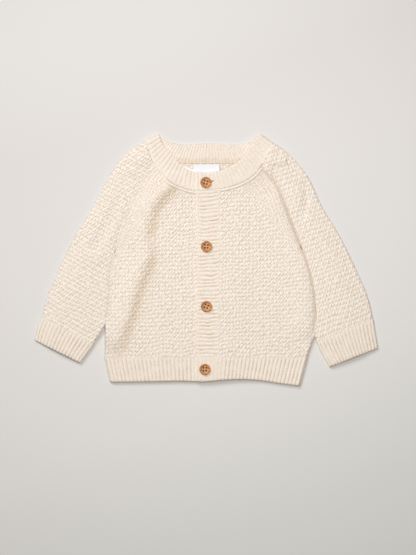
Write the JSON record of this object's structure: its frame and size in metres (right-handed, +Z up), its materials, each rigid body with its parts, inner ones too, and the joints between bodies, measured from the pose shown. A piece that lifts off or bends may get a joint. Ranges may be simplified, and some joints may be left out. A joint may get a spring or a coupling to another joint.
{
  "type": "baby cardigan",
  "caption": "Knitted baby cardigan laid flat, buttoned up: raglan sleeves, moss-stitch body, ribbed neckband, cuffs and hem, ridged front band with wooden buttons.",
  "frame": {"origin": "on the surface the garment lies on, under the middle of its outline", "axes": "+X towards the wearer's left sleeve, +Y from hem to neck, +Z up from the surface, out of the front"},
  "size_m": [0.4035, 0.2957, 0.0105],
  "materials": {
    "knit": "cream cotton in moss stitch, matt",
    "rib": "cream cotton in 1x1 rib and garter ridges, matt",
    "label": "blank white woven tape, slightly satin",
    "button_wood": "caramel olive wood, satin"
  },
  "bodies": {
    "root": {"back_panel": "knit", "front_right": "knit", "front_left": "knit", "sleeve_right": "knit", "sleeve_left": "knit", "hem_back": "rib", "hem_front_right": "rib", "hem_front_left": "rib", "cuff_right": "rib", "cuff_left": "rib", "neckband_back": "rib", "neckband_right": "rib", "neckband_left": "rib", "buttonhole_band": "rib", "button_band": "rib", "neck_label": "label", "button_1": "button_wood", "button_2": "button_wood", "button_3": "button_wood", "button_4": "button_wood"}
  },
  "joints": []
}
